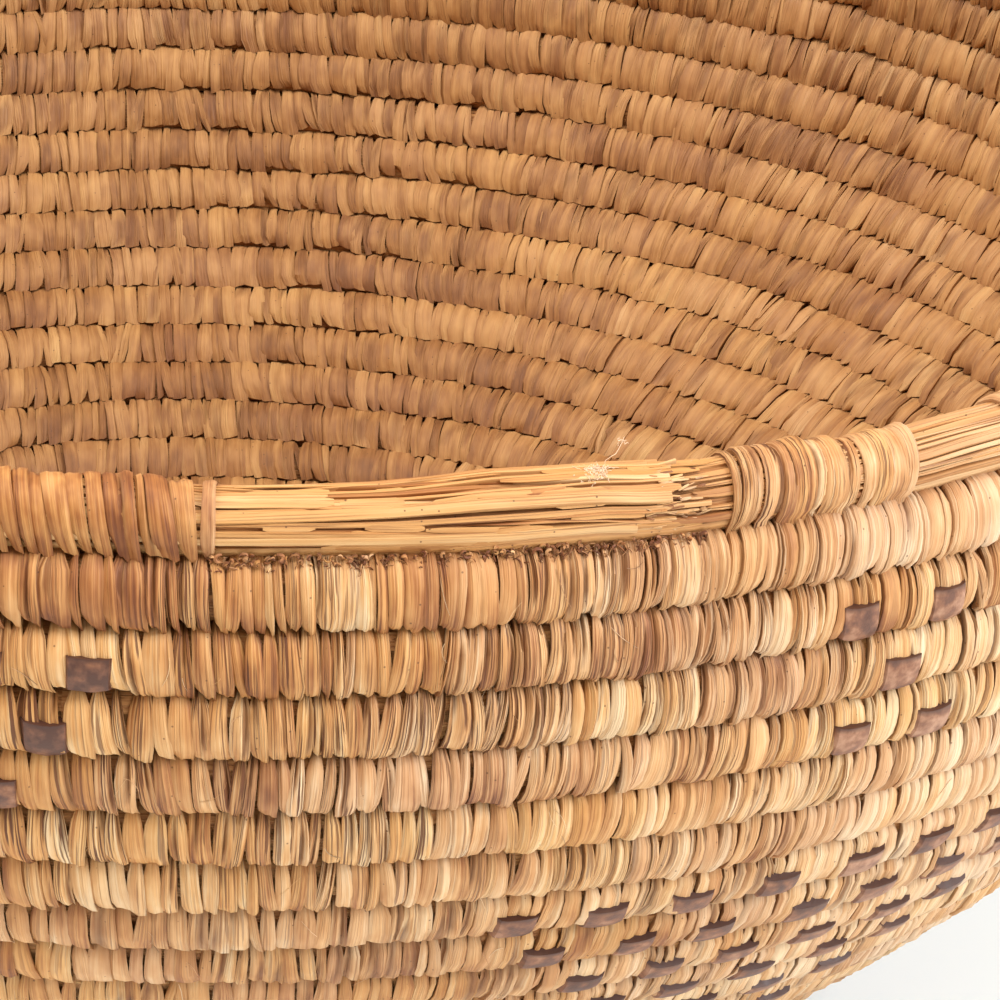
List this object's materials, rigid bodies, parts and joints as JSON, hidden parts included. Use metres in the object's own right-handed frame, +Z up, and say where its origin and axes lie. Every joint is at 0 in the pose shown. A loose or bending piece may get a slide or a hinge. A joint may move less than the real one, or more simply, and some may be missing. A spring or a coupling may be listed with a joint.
{
  "type": "coiled basket bowl",
  "caption": "Round open bowl of one wrapped grass coil, with a lashed straw rim, leather tabs woven into the wall and a flat coiled base.",
  "frame": {"origin": "on the bowl's axis, at the underside of its base", "axes": "+Z up along the bowl's axis, -Y to the side that the picture shows, +X to that side's right"},
  "size_m": [0.3834, 0.3861, 0.1554],
  "materials": {
    "coil_grass": "satin",
    "knot_grass": "matte",
    "rim_grass": "satin",
    "split_palm": "satin",
    "leather": "matte"
  },
  "bodies": {
    "root": {"shoulder_coil": "coil_grass", "belly_coil": "coil_grass", "upper_flank_coil": "coil_grass", "lower_flank_coil": "coil_grass", "heel_coil": "coil_grass", "base_coil": "coil_grass", "start_knot": "knot_grass", "rim_bundle": "rim_grass", "rim_lashing_01": "split_palm", "rim_lashing_02": "split_palm", "rim_lashing_03": "split_palm", "rim_lashing_04": "split_palm", "rim_lashing_05": "split_palm", "rim_lashing_06": "split_palm", "rim_lashing_07": "split_palm", "rim_lashing_08": "split_palm", "rim_lashing_09": "split_palm", "rim_lashing_10": "split_palm", "rim_lashing_11": "split_palm", "rim_lashing_13": "split_palm", "rim_lashing_14": "split_palm", "rim_lashing_15": "split_palm", "rim_lashing_16": "split_palm", "rim_lashing_17": "split_palm", "rim_lashing_18": "split_palm", "rim_lashing_19": "split_palm", "rim_lashing_20": "split_palm", "rim_lashing_21": "split_palm", "rim_lashing_22": "split_palm", "rim_lashing_23": "split_palm", "rim_lashing_24": "split_palm", "rim_lashing_25": "split_palm", "leather_strip_row_2": "leather", "leather_strip_row_3": "leather", "leather_strip_row_4": "leather"}
  },
  "joints": []
}
